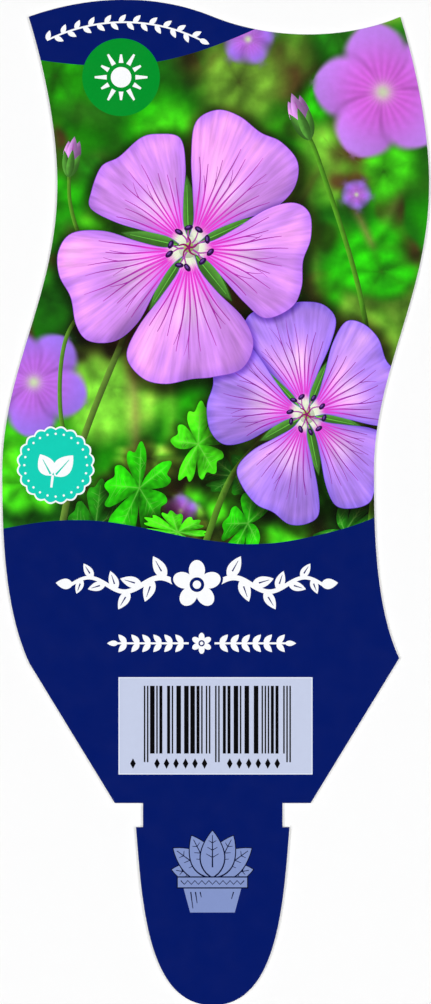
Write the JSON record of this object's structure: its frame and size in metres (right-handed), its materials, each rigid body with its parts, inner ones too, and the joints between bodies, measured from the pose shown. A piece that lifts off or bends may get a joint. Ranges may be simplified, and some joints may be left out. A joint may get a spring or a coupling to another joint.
{
  "type": "plant label",
  "caption": "Flat die-cut plastic plant label with a wavy printed panel, a notched neck and a round-ended stake that pushes into the compost.",
  "frame": {"origin": "under the middle of the label's bounding box, on the plane that its back lies on", "axes": "+X across the label to the right of its printed face, +Y from the stake up to the wavy top edge, +Z out of the printed face"},
  "size_m": [0.0728, 0.1714, 0.0005],
  "materials": {
    "printed_plastic": "smooth plastic sheet, printed in colour and varnished on the front, plain white on the back and the cut edge"
  },
  "bodies": {
    "root": {"label_sheet": "printed_plastic"}
  },
  "joints": []
}
